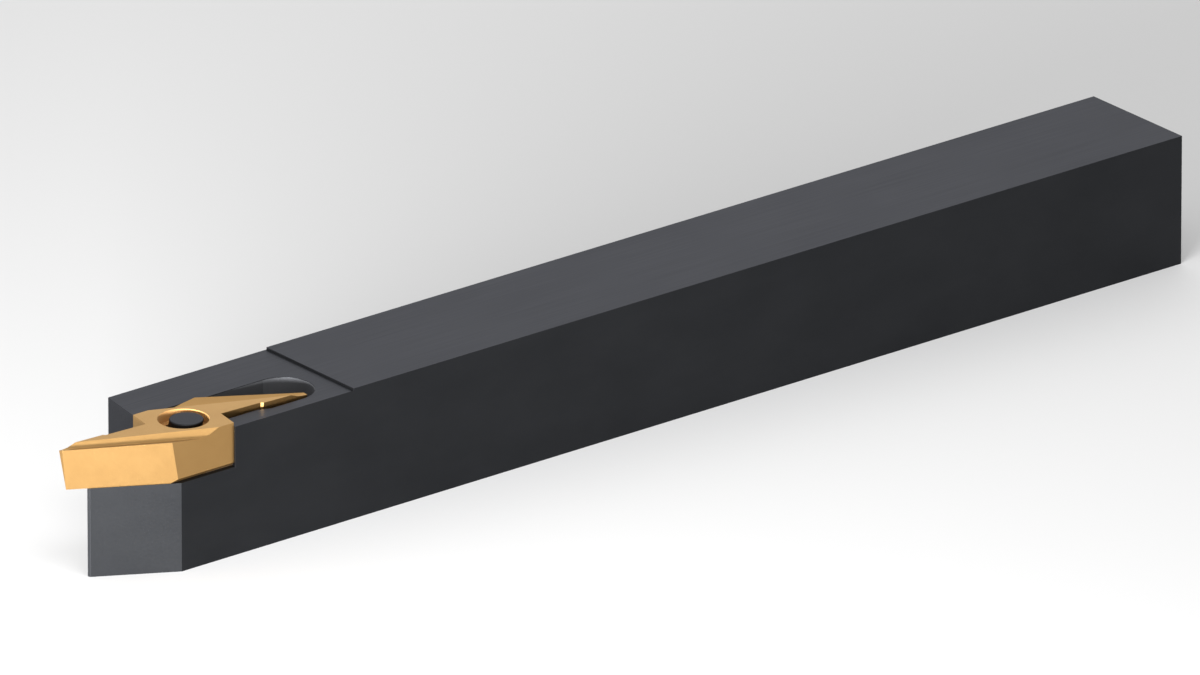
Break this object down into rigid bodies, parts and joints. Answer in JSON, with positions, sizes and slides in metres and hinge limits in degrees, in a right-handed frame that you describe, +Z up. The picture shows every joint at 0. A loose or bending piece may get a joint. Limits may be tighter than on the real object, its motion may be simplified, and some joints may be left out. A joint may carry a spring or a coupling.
{
  "type": "turning tool holder",
  "caption": "Square-shank lathe tool holder with an S-shaped, double-ended groove-type insert held in a pocket by a hidden lever lock.",
  "frame": {"origin": "middle of the base, halfway between the cutting tip and the rear end", "axes": "+X from the cutting head to the shank's rear end, +Y from the side with the pocket to the far side, +Z up"},
  "size_m": [0.12, 0.012, 0.0121],
  "materials": {
    "blackened_steel": "satin",
    "gold_coating": "satin",
    "lever_steel": "satin",
    "screw_steel": "satin"
  },
  "bodies": {
    "holder": {"holder": "blackened_steel", "insert": "gold_coating"},
    "lever": {"clamp_lever": "lever_steel"},
    "screw": {"lever_screw": "screw_steel"}
  },
  "joints": [
    {"name": "lever_rock", "type": "hinge", "parent": "holder", "child": "lever", "pos_m": [-0.04756, -0.00243, 0.006], "axis": [0, -1, 0], "range_deg": [0, 3.4]},
    {"name": "screw_travel", "type": "slide", "parent": "holder", "child": "screw", "axis": [0, 1, 0], "range_m": [0, 0.000339]}
  ],
  "couplings": [
    {"joint": "lever_rock", "follows": "screw_travel", "rad_per_m": 174.96}
  ]
}
